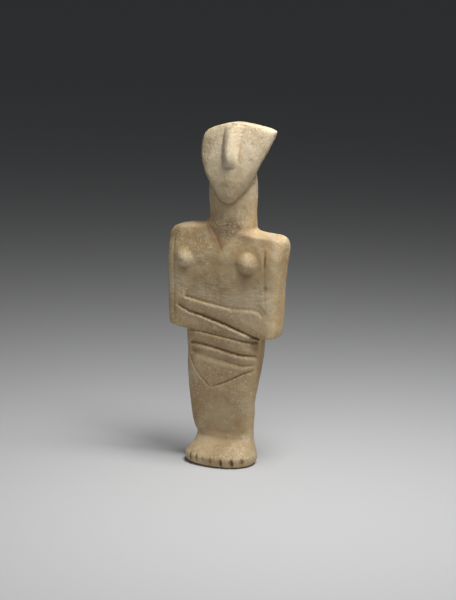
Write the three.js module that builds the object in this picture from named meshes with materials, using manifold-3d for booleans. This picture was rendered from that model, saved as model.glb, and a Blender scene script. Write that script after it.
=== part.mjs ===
// Standing marble figure with folded arms, carved from one block.
// Millimetres. +Z up, the figure faces -Y, and X runs to the figure's left hand.
// The origin is the middle of the flat sole.
import * as THREE from "three";
import { mergeVertices } from "three/addons/utils/BufferGeometryUtils.js";
import Module from "manifold-3d";

// Driving dimensions.
const HEIGHT = 218.4;
const ARM_SPAN = 85;
const HIP_WIDTH = 56;
const LEG_WIDTH = 50;
const FOOT_WIDTH = 48;
const FOOT_LENGTH = 34.6;
const NECK_WIDTH = 33;
const HEAD_WIDTH = 51.5;
const HEAD_HEIGHT = 51;
const CHEST_THICKNESS = 20;
const LEG_THICKNESS = 16;
const NECK_THICKNESS = 18.8;
const RIM_THICKNESS = 7;
const NOSE_HEIGHT = 3.9;
const NOSE_WIDTH = 12;
const BREAST_HEIGHT = 3.4;
const BREAST_RADIUS = 7;
const FOLD_CUT = 2.1;
const GROOVE_CUT = 1.1;
const GROOVE_WIDTH = 2;
const TOE_LENGTH = 3.2;
const TOE_WIDTH = 1.3;
const TOE_CUT = 1.2;

// Places that follow from them.
const CHIN = HEIGHT - HEAD_HEIGHT;
const HEAD_MIDDLE = 0.126 * HEAD_WIDTH;
const FACE_MIDDLE = 0.136 * HEAD_WIDTH;

// How finely the skin is faceted.
const BODY_ROWS = 58;
const BODY_COLUMNS = 40;
const HEAD_ROWS = 22;
const HEAD_COLUMNS = 36;

// Stations up the figure: height as a share of HEIGHT, then a distance as a share of a size.
function across(size, stations) {
  return stations.map(([tall, wide]) => [tall * HEIGHT, wide * size]);
}

// Outline of the body from the sole to the top of the neck, at the figure's right and left.
const BODY_LEFT = [
  ...across(FOOT_WIDTH, [[0, -0.43], [0.008, -0.485], [0.023, -0.504], [0.041, -0.456]]),
  ...across(FOOT_WIDTH, [[0.06, -0.408], [0.078, -0.404]]),
  ...across(LEG_WIDTH, [[0.096, -0.438], [0.137, -0.468], [0.206, -0.494]]),
  ...across(HIP_WIDTH, [[0.275, -0.456], [0.343, -0.467], [0.388, -0.479]]),
  ...across(ARM_SPAN, [[0.393, -0.345], [0.3955, -0.41], [0.3995, -0.441], [0.41, -0.4505]]),
  ...across(ARM_SPAN, [[0.504, -0.4635], [0.641, -0.4615], [0.664, -0.4635], [0.6795, -0.451]]),
  ...across(ARM_SPAN, [[0.6915, -0.397], [0.698, -0.318]]),
  ...across(NECK_WIDTH, [[0.7025, -0.576], [0.7105, -0.418], [0.7325, -0.379]]),
  ...across(NECK_WIDTH, [[0.7875, -0.385], [0.897, -0.348], [0.943, -0.212]]),
];
const BODY_RIGHT = [
  ...across(FOOT_WIDTH, [[0, 0.44], [0.008, 0.485], [0.023, 0.496], [0.041, 0.467]]),
  ...across(FOOT_WIDTH, [[0.06, 0.438], [0.078, 0.419]]),
  ...across(LEG_WIDTH, [[0.096, 0.4], [0.137, 0.41], [0.206, 0.438]]),
  ...across(HIP_WIDTH, [[0.275, 0.448], [0.343, 0.491], [0.378, 0.5]]),
  ...across(ARM_SPAN, [[0.383, 0.36], [0.3845, 0.435], [0.388, 0.4535], [0.3955, 0.4585]]),
  ...across(ARM_SPAN, [[0.458, 0.4655], [0.5495, 0.4825], [0.632, 0.5055], [0.6595, 0.5105]]),
  ...across(ARM_SPAN, [[0.6755, 0.496], [0.683, 0.45], [0.6845, 0.388]]),
  ...across(NECK_WIDTH, [[0.686, 0.818], [0.6895, 0.673], [0.7005, 0.606], [0.742, 0.606]]),
  ...across(NECK_WIDTH, [[0.7875, 0.612], [0.87, 0.588], [0.943, 0.424]]),
];
// How far the front stands forward and the back stands behind the middle plane.
const BODY_FRONT = [
  ...across(FOOT_LENGTH, [[0, 0.588], [0.008, 0.645], [0.023, 0.65], [0.041, 0.566]]),
  ...across(FOOT_LENGTH, [[0.06, 0.376], [0.078, 0.249]]),
  ...across(LEG_THICKNESS, [[0.096, 0.45], [0.137, 0.469], [0.229, 0.575], [0.311, 0.6]]),
  ...across(CHEST_THICKNESS, [[0.389, 0.47], [0.458, 0.47], [0.513, 0.455], [0.595, 0.48]]),
  ...across(CHEST_THICKNESS, [[0.678, 0.33]]),
  ...across(NECK_THICKNESS, [[0.714, 0.277], [0.7555, 0.266], [0.824, 0.266], [0.943, 0]]),
];
const BODY_BACK = [
  ...across(FOOT_LENGTH, [[0, -0.289], [0.007, -0.329], [0.023, -0.353], [0.041, -0.341]]),
  ...across(FOOT_LENGTH, [[0.06, -0.298], [0.078, -0.249]]),
  ...across(LEG_THICKNESS, [[0.096, -0.475], [0.137, -0.438], [0.229, -0.45], [0.3205, -0.512]]),
  ...across(CHEST_THICKNESS, [[0.389, -0.47], [0.458, -0.525], [0.595, -0.56], [0.678, -0.59]]),
  ...across(NECK_THICKNESS, [[0.7555, -0.681], [0.824, -0.686], [0.87, -0.606]]),
  ...across(NECK_THICKNESS, [[0.916, -0.399], [0.943, -0.213]]),
];
// Squareness of a level section: 2 is an oval, a larger number has squarer corners.
const BODY_SQUARE = across(1, [
  [0, 2.2], [0.092, 2.8], [0.183, 3.2], [0.385, 3.2], [0.394, 5.5], [0.66, 5.5], [0.687, 4],
  [0.723, 2.3], [0.943, 2.3],
]);

// Stations up the head: height as a share of HEAD_HEIGHT above the chin.
function upHead(stations, size, middle = 0) {
  return stations.map(([tall, wide]) => [CHIN + tall * HEAD_HEIGHT, middle + wide * size]);
}

// Outline of the head, a shield with its sharper corner at the figure's left, from the chin to
// the crown, and the depths of its front ridge and its back.
const HEAD_LEFT = upHead([
  [0, -0.07], [0.01, -0.109], [0.035, -0.151], [0.075, -0.194], [0.116, -0.225], [0.169, -0.26],
  [0.22, -0.291], [0.271, -0.324], [0.324, -0.357], [0.384, -0.392], [0.469, -0.421],
  [0.565, -0.454], [0.688, -0.466], [0.796, -0.454], [0.875, -0.404], [0.926, -0.32],
  [0.961, -0.216], [0.985, -0.117], [1, -0.029],
], HEAD_WIDTH, HEAD_MIDDLE);
const HEAD_RIGHT = upHead([
  [0, -0.009], [0.01, 0.018], [0.035, 0.058], [0.071, 0.097], [0.135, 0.15], [0.206, 0.208],
  [0.325, 0.28], [0.427, 0.332], [0.531, 0.375], [0.609, 0.414], [0.711, 0.467], [0.855, 0.52],
  [0.906, 0.53], [0.937, 0.482], [0.961, 0.379], [0.981, 0.262], [0.994, 0.155], [1, 0.097],
], HEAD_WIDTH, HEAD_MIDDLE);
const HEAD_FRONT = upHead([
  [0, 0.468], [0.091, 0.479], [0.345, 0.426], [0.541, 0.351], [0.737, 0.245], [0.894, 0.117],
  [1, 0.021],
], NECK_THICKNESS);
const HEAD_BACK = upHead([
  [0, -0.25], [0.248, -0.532], [0.443, -0.702], [0.6, -0.691], [0.737, -0.66], [0.894, -0.521],
  [1, -0.394],
], NECK_THICKNESS);
const HEAD_SQUARE = 5;
const FACE_FALL = 0.13;
const FACE_SOFTNESS = 0.058 * HEAD_WIDTH;

// The straight ridge of the nose: its middle, its half width and its share of NOSE_HEIGHT.
const NOSE_MIDDLE = upHead([[0.459, 0.134], [0.737, 0.126], [1, 0.14]], HEAD_WIDTH);
const NOSE_HALF_WIDTH = upHead([
  [0.459, 0.3], [0.522, 0.38], [0.6, 0.45], [0.757, 0.5], [0.894, 0.52], [1, 0.55],
], NOSE_WIDTH);
const NOSE_SHARE = upHead([
  [0.459, 0], [0.486, 0.6], [0.531, 0.93], [0.62, 1], [0.776, 0.83], [0.894, 0.62], [1, 0.3],
], 1);

// A place on the front: across as a share of the arms' span, then height as a share of HEIGHT.
function place([wide, tall]) {
  return [wide * ARM_SPAN, tall * HEIGHT];
}

// The breasts' places on the chest.
const BREASTS = [[-0.2955, 0.6], [0.243, 0.599]].map(place);

// Cut lines across the front, each from the figure's right to its left, with their depth as a
// share of FOLD_CUT. The skin steps down at the line and eases back over a reach above it, which
// is a share of HEIGHT.
const FOLDS = [
  { name: "left forearm", reach: 0.085, share: 1.1,
    line: [[-0.312, 0.487], [-0.088, 0.4745], [0.125, 0.466], [0.282, 0.47], [0.353, 0.465],
      [0.384, 0.447]] },
  { name: "right forearm", reach: 0.026, share: 0.95,
    line: [[-0.371, 0.4605], [-0.262, 0.4425], [-0.152, 0.435], [0.046, 0.415], [0.242, 0.392],
      [0.329, 0.3765]] },
  { name: "first fold", reach: 0.0155, share: 0.5,
    line: [[-0.288, 0.391], [-0.186, 0.39], [-0.056, 0.384], [0.136, 0.3755], [0.322, 0.367]] },
  { name: "second fold", reach: 0.0145, share: 0.6,
    line: [[-0.276, 0.3525], [-0.144, 0.3515], [-0.028, 0.346], [0.194, 0.331], [0.325, 0.3285]] },
  { name: "third fold", reach: 0.0155, share: 0.5,
    line: [[-0.259, 0.334], [-0.1, 0.32], [0.109, 0.306], [0.193, 0.301], [0.322, 0.303]] },
  { name: "right side of the lap", reach: 0.0075, share: 0.5,
    line: [[-0.266, 0.3185], [-0.245, 0.2975], [-0.215, 0.28], [-0.165, 0.2565], [-0.1, 0.2335],
      [-0.067, 0.224]] },
  { name: "left side of the lap", reach: 0.0075, share: 0.5,
    line: [[-0.072, 0.224], [0.045, 0.2425], [0.193, 0.272], [0.266, 0.284], [0.325, 0.29]] },
  { name: "right side of the neckline", reach: 0.055, share: 0.5,
    line: [[-0.165, 0.714], [-0.071, 0.682], [-0.014, 0.653], [0.034, 0.627]] },
  { name: "left side of the neckline", reach: 0.055, share: 0.3,
    line: [[0.029, 0.627], [0.079, 0.648], [0.14, 0.673], [0.247, 0.707]] },
].map((fold) => ({ ...fold, reach: fold.reach * HEIGHT, line: fold.line.map(place) }));

// Grooves between the upper arms and the chest: the foot and the head of each, and its depth as
// a share of GROOVE_CUT.
const ARM_GROOVES = [
  { foot: place([-0.385, 0.412]), head: place([-0.385, 0.6685]), share: 0.6 },
  { foot: place([0.3895, 0.4535]), head: place([0.3895, 0.641]), share: 0.8 },
];

// The marks between the toes: across as a share of FOOT_WIDTH and height on the front of the foot.
const TOES = [
  [-0.3, 0.0215], [-0.195, 0.024], [-0.09, 0.021], [0.028, 0.0175], [0.182, 0.0145],
  [0.318, 0.0155], [0.43, 0.0185],
].map(([wide, tall]) => [wide * FOOT_WIDTH, tall * HEIGHT]);

// Steps along a cut line, how far the cutters stand clear of the skin, how far the nose starts
// below the crown and is sunk in the face, and how far a fold's step leans.
const LINE_STEP = 3;
const CUT_CLEARANCE = 6;
const NOSE_END = 1.2;
const NOSE_SUNK = 0.8;
const GROOVE_CLEARANCE = 1.5;
const STEP_LEAN = 0.5;

// A smooth curve through the stations that never overshoots them.
function keyed(stations) {
  const at = stations.map((station) => station[0]);
  const value = stations.map((station) => station[1]);
  const last = at.length - 1;
  const rise = at.slice(0, last).map((a, i) => (value[i + 1] - value[i]) / (at[i + 1] - a));
  const slope = value.map((_, i) => {
    if (i === 0) return rise[0];
    if (i === last) return rise[last - 1];
    if (rise[i - 1] * rise[i] <= 0) return 0;
    const before = at[i] - at[i - 1];
    const after = at[i + 1] - at[i];
    const total = 3 * (before + after);
    return total / ((2 * after + before) / rise[i - 1] + (after + 2 * before) / rise[i]);
  });
  return (place) => {
    const q = Math.min(Math.max(place, at[0]), at[last]);
    let i = 0;
    while (i < last - 1 && q > at[i + 1]) i += 1;
    const span = at[i + 1] - at[i];
    const t = (q - at[i]) / span;
    const start = value[i] * (1 + 2 * t) * (1 - t) ** 2 + slope[i] * span * t * (1 - t) ** 2;
    const end = value[i + 1] * t * t * (3 - 2 * t) - slope[i + 1] * span * t * t * (1 - t);
    return start + end;
  };
}

const bodyLeft = keyed(BODY_LEFT);
const bodyRight = keyed(BODY_RIGHT);
const bodyFront = keyed(BODY_FRONT);
const bodyBack = keyed(BODY_BACK);
const bodySquare = keyed(BODY_SQUARE);
const headLeft = keyed(HEAD_LEFT);
const headRight = keyed(HEAD_RIGHT);
const headFront = keyed(HEAD_FRONT);
const headBack = keyed(HEAD_BACK);

// The top of the neck, inside the head.
const BODY_TOP = BODY_LEFT[BODY_LEFT.length - 1][0];

// How far forward the face stands at a place, a shallow roof about the nose.
function faceForward(x, z) {
  const off = Math.hypot(x - FACE_MIDDLE, FACE_SOFTNESS) - FACE_SOFTNESS;
  return headFront(z) - FACE_FALL * off;
}

// A level section of the body: its two ends, its front and its back.
function bodySection(z) {
  return {
    left: bodyLeft(z),
    right: bodyRight(z),
    square: bodySquare(z),
    front: () => bodyFront(z),
    back: () => bodyBack(z),
  };
}

// A level section of the head: a plate with a rim, thicker behind its middle.
function headSection(z) {
  const left = headLeft(z);
  const right = headRight(z);
  const middle = (left + right) / 2;
  const half = (right - left) / 2;
  return {
    left,
    right,
    square: HEAD_SQUARE,
    front: (x) => faceForward(x, z),
    back: (x) => {
      const rim = faceForward(x, z) - RIM_THICKNESS;
      const bulge = 1 - Math.min(1, Math.abs(x - middle) / half) ** 2;
      return Math.min(rim, rim + (headBack(z) - rim) * bulge);
    },
  };
}

// A point of a section at an angle round it. The section is a box with rounded corners.
function sectionPoint(section, angle, z) {
  const c = Math.cos(angle);
  const s = Math.sin(angle);
  const n = section.square;
  const size = (Math.abs(c) ** n + Math.abs(s) ** n) ** (-1 / n);
  const middle = (section.left + section.right) / 2;
  const half = (section.right - section.left) / 2;
  const x = middle + half * size * c;
  const share = (1 + size * s) / 2;
  const forward = section.back(x) + (section.front(x) - section.back(x)) * share;
  return new THREE.Vector3(x, -forward, z);
}

// Heights of the rows, closer where the outline or the front turns.
function rowHeights(low, high, count, section) {
  const steps = 1500;
  const reach = [0];
  let before = section(low);
  for (let i = 1; i <= steps; i += 1) {
    const z = low + ((high - low) * i) / steps;
    const now = section(z);
    const side = Math.abs(now.left - before.left) + Math.abs(now.right - before.right);
    const depth = Math.abs(now.front(now.left) - before.front(before.left));
    reach.push(reach[i - 1] + 0.5 * side + depth + (0.55 * (high - low)) / steps);
    before = now;
  }
  const heights = [];
  let i = 0;
  for (let row = 0; row <= count; row += 1) {
    const goal = (reach[steps] * row) / count;
    while (i < steps && reach[i] < goal) i += 1;
    heights.push(low + ((high - low) * i) / steps);
  }
  heights[count] = high;
  return heights;
}

// A closed skin over rings of equal length, with a flat cap at each end.
function skin(rings) {
  const around = rings[0].length;
  const points = rings.flat();
  const faces = [];
  for (let row = 0; row + 1 < rings.length; row += 1) {
    for (let i = 0; i < around; i += 1) {
      const a = row * around + i;
      const b = row * around + ((i + 1) % around);
      const c = a + around;
      const d = b + around;
      faces.push(a, b, d, a, d, c);
    }
  }
  const cap = (ring, start, flip) => {
    const middle = ring.reduce((sum, p) => sum.add(p), new THREE.Vector3());
    points.push(middle.multiplyScalar(1 / around));
    const centre = points.length - 1;
    for (let i = 0; i < around; i += 1) {
      const a = start + i;
      const b = start + ((i + 1) % around);
      faces.push(...(flip ? [centre, b, a] : [centre, a, b]));
    }
  };
  cap(rings[0], 0, true);
  cap(rings[rings.length - 1], (rings.length - 1) * around, false);
  const geometry = new THREE.BufferGeometry().setFromPoints(points);
  geometry.setIndex(faces);
  return geometry;
}

// A stack of level sections as a closed skin.
function stack(low, high, rows, columns, section) {
  const rings = rowHeights(low, high, rows, section).map((z) => {
    const level = section(z);
    const ring = [];
    for (let i = 0; i < columns; i += 1) {
      ring.push(sectionPoint(level, -Math.PI / 2 - (2 * Math.PI * i) / columns, z));
    }
    return ring;
  });
  return skin(rings);
}

// How far forward the body's skin stands at a place on its front.
function bodyForward(x, z) {
  const section = bodySection(z);
  const middle = (section.left + section.right) / 2;
  const half = (section.right - section.left) / 2;
  const side = Math.min(0.97, Math.abs(x - middle) / half);
  const share = (1 + (1 - side ** section.square) ** (1 / section.square)) / 2;
  return section.back() + (section.front() - section.back()) * share;
}

// Points at even steps along a cut line, its corners kept.
function alongLine(line) {
  const places = [];
  for (let i = 0; i + 1 < line.length; i += 1) {
    const [x, z] = line[i];
    const [nextX, nextZ] = line[i + 1];
    const steps = Math.max(1, Math.round(Math.hypot(nextX - x, nextZ - z) / LINE_STEP));
    for (let k = 0; k < steps; k += 1) {
      places.push([x + ((nextX - x) * k) / steps, z + ((nextZ - z) * k) / steps]);
    }
  }
  places.push(line[line.length - 1]);
  return places;
}

// The block cut away at a fold: a steep step at the line, then a floor that rises to the skin.
function foldCutter({ line, reach, share }) {
  const places = alongLine(line);
  const last = places.length - 1;
  const rings = places.map(([x, z], i) => {
    const fade = Math.min(1, (0.35 + i) / 2, (0.35 + last - i) / 2);
    const cut = FOLD_CUT * share * fade;
    const surface = bodyForward(x, z);
    const out = surface + CUT_CLEARANCE;
    const top = z + reach;
    return [
      new THREE.Vector3(x, -out, z - STEP_LEAN),
      new THREE.Vector3(x, -(surface + 0.4), z - STEP_LEAN),
      new THREE.Vector3(x, -(surface - cut), z),
      new THREE.Vector3(x, -(bodyForward(x, z + reach / 2) - cut * 0.3), z + reach / 2),
      new THREE.Vector3(x, -(bodyForward(x, top) + 0.5), top),
      new THREE.Vector3(x, -(bodyForward(x, top) + CUT_CLEARANCE), top),
    ];
  });
  return skin(rings);
}

// The wedge cut away between an upper arm and the chest.
function grooveCutter({ foot, head, share }) {
  const rings = [];
  const steps = 8;
  for (let i = 0; i <= steps; i += 1) {
    const x = foot[0] + ((head[0] - foot[0]) * i) / steps;
    const z = foot[1] + ((head[1] - foot[1]) * i) / steps;
    const ends = Math.sin(Math.PI * (0.15 + 0.7 * (i / steps))) ** 0.5;
    const surface = bodyForward(x, z);
    const cut = GROOVE_CUT * share * ends;
    const wide = (GROOVE_WIDTH / 2) * (1 + GROOVE_CLEARANCE / cut);
    rings.push([
      new THREE.Vector3(x, -(surface - cut), z),
      new THREE.Vector3(x - wide, -(surface + GROOVE_CLEARANCE), z),
      new THREE.Vector3(x + wide, -(surface + GROOVE_CLEARANCE), z),
    ]);
  }
  return skin(rings);
}

// The hollow cut away between two toes.
function toeCutter([x, z]) {
  const geometry = new THREE.SphereGeometry(1, 8, 6);
  geometry.scale(TOE_WIDTH / 2, TOE_CUT, TOE_LENGTH / 2);
  geometry.translate(x, -bodyForward(x, z), z);
  return geometry;
}

// A breast, a low bell standing out from the chest.
function breast([x, z]) {
  const rings = 5;
  const sunk = 2.5;
  const profile = [new THREE.Vector2(0, -sunk), new THREE.Vector2(BREAST_RADIUS, -sunk)];
  for (let i = 0; i < rings; i += 1) {
    const t = 1 - i / rings;
    profile.push(new THREE.Vector2(BREAST_RADIUS * t, BREAST_HEIGHT * (1 - t * t) ** 1.3));
  }
  profile.push(new THREE.Vector2(0, BREAST_HEIGHT));
  const geometry = new THREE.LatheGeometry(profile, 18);
  geometry.rotateX(Math.PI);
  geometry.translate(x, -bodyForward(x, z), z);
  return geometry;
}

// The nose, a ridge that fades into the crown.
function nose() {
  const middle = keyed(NOSE_MIDDLE);
  const halfWidth = keyed(NOSE_HALF_WIDTH);
  const share = keyed(NOSE_SHARE);
  const low = NOSE_MIDDLE[0][0];
  const high = HEIGHT - NOSE_END;
  const rows = 9;
  const columns = 8;
  const rings = [];
  for (let row = 0; row <= rows; row += 1) {
    const z = low + (high - low) * (row / rows) ** 1.6;
    const ring = [new THREE.Vector3(middle(z), -(faceForward(middle(z), z) - NOSE_HEIGHT), z)];
    for (let i = 0; i <= columns; i += 1) {
      const t = 1 - (2 * i) / columns;
      const x = middle(z) + halfWidth(z) * t;
      const lift = NOSE_HEIGHT * share(z) * (1 - Math.abs(t) ** 1.9);
      ring.push(new THREE.Vector3(x, -(faceForward(x, z) - NOSE_SUNK + lift), z));
    }
    rings.push(ring.reverse());
  }
  return skin(rings);
}

const wasm = await Module();
wasm.setup();

// A closed geometry as a solid that can be joined and cut, its faces turned outwards.
function solid(geometry) {
  const bare = new THREE.BufferGeometry();
  bare.setAttribute("position", geometry.getAttribute("position").clone());
  if (geometry.index) bare.setIndex(geometry.index.clone());
  const merged = mergeVertices(bare, 1e-4);
  const vertProperties = merged.attributes.position.array;
  const triVerts = new Uint32Array(merged.index.array);
  const made = new wasm.Manifold(new wasm.Mesh({ numProp: 3, vertProperties, triVerts }));
  if (made.volume() > 0) return made;
  const turned = triVerts.map((_, i) => triVerts[i - (i % 3) + (2 - (i % 3))]);
  return new wasm.Manifold(new wasm.Mesh({ numProp: 3, vertProperties, triVerts: turned }));
}

// A solid as a geometry again.
function geometryOf(made) {
  const mesh = made.getMesh();
  const geometry = new THREE.BufferGeometry();
  geometry.setAttribute("position", new THREE.BufferAttribute(mesh.vertProperties, 3));
  geometry.setIndex(new THREE.BufferAttribute(mesh.triVerts, 1));
  return geometry;
}

let figure = solid(stack(0, BODY_TOP, BODY_ROWS, BODY_COLUMNS, bodySection));
for (const fold of FOLDS) figure = figure.subtract(solid(foldCutter(fold)));
for (const groove of ARM_GROOVES) figure = figure.subtract(solid(grooveCutter(groove)));
for (const toe of TOES) figure = figure.subtract(solid(toeCutter(toe)));
for (const spot of BREASTS) figure = figure.add(solid(breast(spot)));
figure = figure.add(solid(stack(CHIN, HEIGHT, HEAD_ROWS, HEAD_COLUMNS, headSection)));
figure = figure.add(solid(nose()));

const marble = new THREE.MeshStandardMaterial({ color: "#c9b899", roughness: 0.55, metalness: 0 });
const geometry = geometryOf(figure);
geometry.computeVertexNormals();

const marbleFigure = new THREE.Mesh(geometry, marble);
marbleFigure.name = "marble_figure";

const group = new THREE.Group();
group.add(marbleFigure);

export default group;
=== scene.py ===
# A marble figure with folded arms: its worn skin, its patina and the studio round it.
import math
import bpy
import numpy as np
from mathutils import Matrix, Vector


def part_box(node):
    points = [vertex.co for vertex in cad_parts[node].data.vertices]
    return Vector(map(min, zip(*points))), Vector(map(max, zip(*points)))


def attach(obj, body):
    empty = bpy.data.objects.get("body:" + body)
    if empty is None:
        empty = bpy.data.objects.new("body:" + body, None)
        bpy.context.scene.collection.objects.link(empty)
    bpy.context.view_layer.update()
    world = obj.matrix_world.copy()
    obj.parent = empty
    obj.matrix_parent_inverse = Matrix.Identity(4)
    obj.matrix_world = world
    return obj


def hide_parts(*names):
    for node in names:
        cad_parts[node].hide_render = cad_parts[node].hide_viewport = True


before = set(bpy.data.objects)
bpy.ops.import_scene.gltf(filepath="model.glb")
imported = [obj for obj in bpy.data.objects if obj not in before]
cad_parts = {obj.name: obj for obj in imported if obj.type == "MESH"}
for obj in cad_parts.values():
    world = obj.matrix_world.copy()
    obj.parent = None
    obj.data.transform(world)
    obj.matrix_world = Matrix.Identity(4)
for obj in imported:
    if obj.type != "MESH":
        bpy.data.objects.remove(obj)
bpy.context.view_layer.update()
block_low, block_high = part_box("marble_figure")

# The block's sizes in millimetres, and one millimetre of it in metres.
HEIGHT = 218.4
ARM_SPAN = 85
HIP_WIDTH = 56
LEG_WIDTH = 50
FOOT_WIDTH = 48
FOOT_LENGTH = 34.6
NECK_WIDTH = 33
HEAD_WIDTH = 51.5
HEAD_HEIGHT = 51
CHEST_THICKNESS = 20
LEG_THICKNESS = 16
NECK_THICKNESS = 18.8
RIM_THICKNESS = 7
NOSE_HEIGHT = 3.9
NOSE_WIDTH = 12
MM = (block_high.z - block_low.z) / HEIGHT

# Places that follow from them.
CHIN = HEIGHT - HEAD_HEIGHT
HEAD_MIDDLE = 0.126 * HEAD_WIDTH
FACE_MIDDLE = 0.136 * HEAD_WIDTH

# How finely the skin is meshed.
SKIN_ROWS = 402
FRONT_COLUMNS = 146
BACK_COLUMNS = 40
SIDE_COLUMNS = 24


def across(size, stations):
    """Stations up the figure: height as a share of HEIGHT, then a distance as a share of a size."""
    return [(tall * HEIGHT, wide * size) for tall, wide in stations]


# Outline of the body from the sole to the top of the neck, at the figure's right and left.
BODY_LEFT = [
    *across(FOOT_WIDTH, [[0, -0.43], [0.008, -0.485], [0.023, -0.504], [0.041, -0.456]]),
    *across(FOOT_WIDTH, [[0.06, -0.408], [0.078, -0.404]]),
    *across(LEG_WIDTH, [[0.096, -0.438], [0.137, -0.468], [0.206, -0.494]]),
    *across(HIP_WIDTH, [[0.275, -0.456], [0.343, -0.467], [0.388, -0.479]]),
    *across(ARM_SPAN, [[0.393, -0.345], [0.3955, -0.41], [0.3995, -0.441], [0.41, -0.4505]]),
    *across(ARM_SPAN, [[0.504, -0.4635], [0.641, -0.4615], [0.664, -0.4635], [0.6795, -0.451]]),
    *across(ARM_SPAN, [[0.6915, -0.397], [0.698, -0.318]]),
    *across(NECK_WIDTH, [[0.7025, -0.576], [0.7105, -0.418], [0.7325, -0.379]]),
    *across(NECK_WIDTH, [[0.7875, -0.385], [0.897, -0.348], [0.943, -0.212]]),
]
BODY_RIGHT = [
    *across(FOOT_WIDTH, [[0, 0.44], [0.008, 0.485], [0.023, 0.496], [0.041, 0.467]]),
    *across(FOOT_WIDTH, [[0.06, 0.438], [0.078, 0.419]]),
    *across(LEG_WIDTH, [[0.096, 0.4], [0.137, 0.41], [0.206, 0.438]]),
    *across(HIP_WIDTH, [[0.275, 0.448], [0.343, 0.491], [0.378, 0.5]]),
    *across(ARM_SPAN, [[0.383, 0.36], [0.3845, 0.435], [0.388, 0.4535], [0.3955, 0.4585]]),
    *across(ARM_SPAN, [[0.458, 0.4655], [0.5495, 0.4825], [0.632, 0.5055], [0.6595, 0.5105]]),
    *across(ARM_SPAN, [[0.6755, 0.496], [0.683, 0.45], [0.6845, 0.388]]),
    *across(NECK_WIDTH, [[0.686, 0.818], [0.6895, 0.673], [0.7005, 0.606], [0.742, 0.606]]),
    *across(NECK_WIDTH, [[0.7875, 0.612], [0.87, 0.588], [0.943, 0.424]]),
]
# How far the front stands forward and the back stands behind the middle plane.
BODY_FRONT = [
    *across(FOOT_LENGTH, [[0, 0.588], [0.008, 0.645], [0.023, 0.65], [0.041, 0.566]]),
    *across(FOOT_LENGTH, [[0.06, 0.376], [0.078, 0.249]]),
    *across(LEG_THICKNESS, [[0.096, 0.45], [0.137, 0.469], [0.229, 0.575], [0.311, 0.6]]),
    *across(CHEST_THICKNESS, [[0.389, 0.47], [0.458, 0.47], [0.513, 0.455], [0.595, 0.48]]),
    *across(CHEST_THICKNESS, [[0.678, 0.33]]),
    *across(NECK_THICKNESS, [[0.714, 0.277], [0.7555, 0.266], [0.824, 0.266], [0.943, 0]]),
]
BODY_BACK = [
    *across(FOOT_LENGTH, [[0, -0.289], [0.007, -0.329], [0.023, -0.353], [0.041, -0.341]]),
    *across(FOOT_LENGTH, [[0.06, -0.298], [0.078, -0.249]]),
    *across(LEG_THICKNESS, [[0.096, -0.475], [0.137, -0.438], [0.229, -0.45], [0.3205, -0.512]]),
    *across(CHEST_THICKNESS, [[0.389, -0.47], [0.458, -0.525], [0.595, -0.56], [0.678, -0.59]]),
    *across(NECK_THICKNESS, [[0.7555, -0.681], [0.824, -0.686], [0.87, -0.606]]),
    *across(NECK_THICKNESS, [[0.916, -0.399], [0.943, -0.213]]),
]
# Squareness of a level section: 2 is an oval, a larger number has squarer corners.
BODY_SQUARE = across(1, [
    [0, 2.2], [0.092, 2.8], [0.183, 3.2], [0.385, 3.2], [0.394, 5.5], [0.66, 5.5], [0.687, 4],
    [0.723, 2.3], [0.943, 2.3],
])
BODY_TOP = BODY_LEFT[-1][0]


def up_head(stations, size, middle=0):
    """Stations up the head: height above the chin as a share of HEAD_HEIGHT, then a distance."""
    return [(CHIN + tall * HEAD_HEIGHT, middle + wide * size) for tall, wide in stations]


# Outline of the head, a shield with its sharper corner at the figure's left, from the chin to
# the crown, and the depths of its front ridge and its back.
HEAD_LEFT = up_head([
    [0, -0.07], [0.01, -0.109], [0.035, -0.151], [0.075, -0.194], [0.116, -0.225],
    [0.169, -0.26], [0.22, -0.291], [0.271, -0.324], [0.324, -0.357], [0.384, -0.392],
    [0.469, -0.421], [0.565, -0.454], [0.688, -0.466], [0.796, -0.454], [0.875, -0.404],
    [0.926, -0.32], [0.961, -0.216], [0.985, -0.117], [1, -0.029],
], HEAD_WIDTH, HEAD_MIDDLE)
HEAD_RIGHT = up_head([
    [0, -0.009], [0.01, 0.018], [0.035, 0.058], [0.071, 0.097], [0.135, 0.15], [0.206, 0.208],
    [0.325, 0.28], [0.427, 0.332], [0.531, 0.375], [0.609, 0.414], [0.711, 0.467], [0.855, 0.52],
    [0.906, 0.53], [0.937, 0.482], [0.961, 0.379], [0.981, 0.262], [0.994, 0.155], [1, 0.097],
], HEAD_WIDTH, HEAD_MIDDLE)
HEAD_FRONT = up_head([
    [0, 0.37], [0.06, 0.41], [0.15, 0.44], [0.26, 0.445], [0.4, 0.41], [0.541, 0.351],
    [0.737, 0.245], [0.894, 0.117], [1, 0.021],
], NECK_THICKNESS)
HEAD_BACK = up_head([
    [0, -0.25], [0.248, -0.532], [0.443, -0.702], [0.6, -0.691], [0.737, -0.66], [0.894, -0.521],
    [1, -0.394],
], NECK_THICKNESS)
HEAD_SQUARE = 5
# The face falls away on both sides of a soft ridge: its slope, and how soft the ridge is.
FACE_FALL = 0.13
FACE_SOFTNESS = 0.058 * HEAD_WIDTH
# The face's edge drops back: how deep and over what width, and what the jaw adds to both.
RIM_DROP, RIM_REACH = 1.5, 3.0
JAW_DROP, JAW_REACH = 1.1, 1.2
JAW_FULL, JAW_END = 176, 196
# At the crown the edge is left crisper, between two heights.
CROWN_DROP, CROWN_START, CROWN_FULL = 1.1, 208, 214
THIN_RIM = 6

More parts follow.
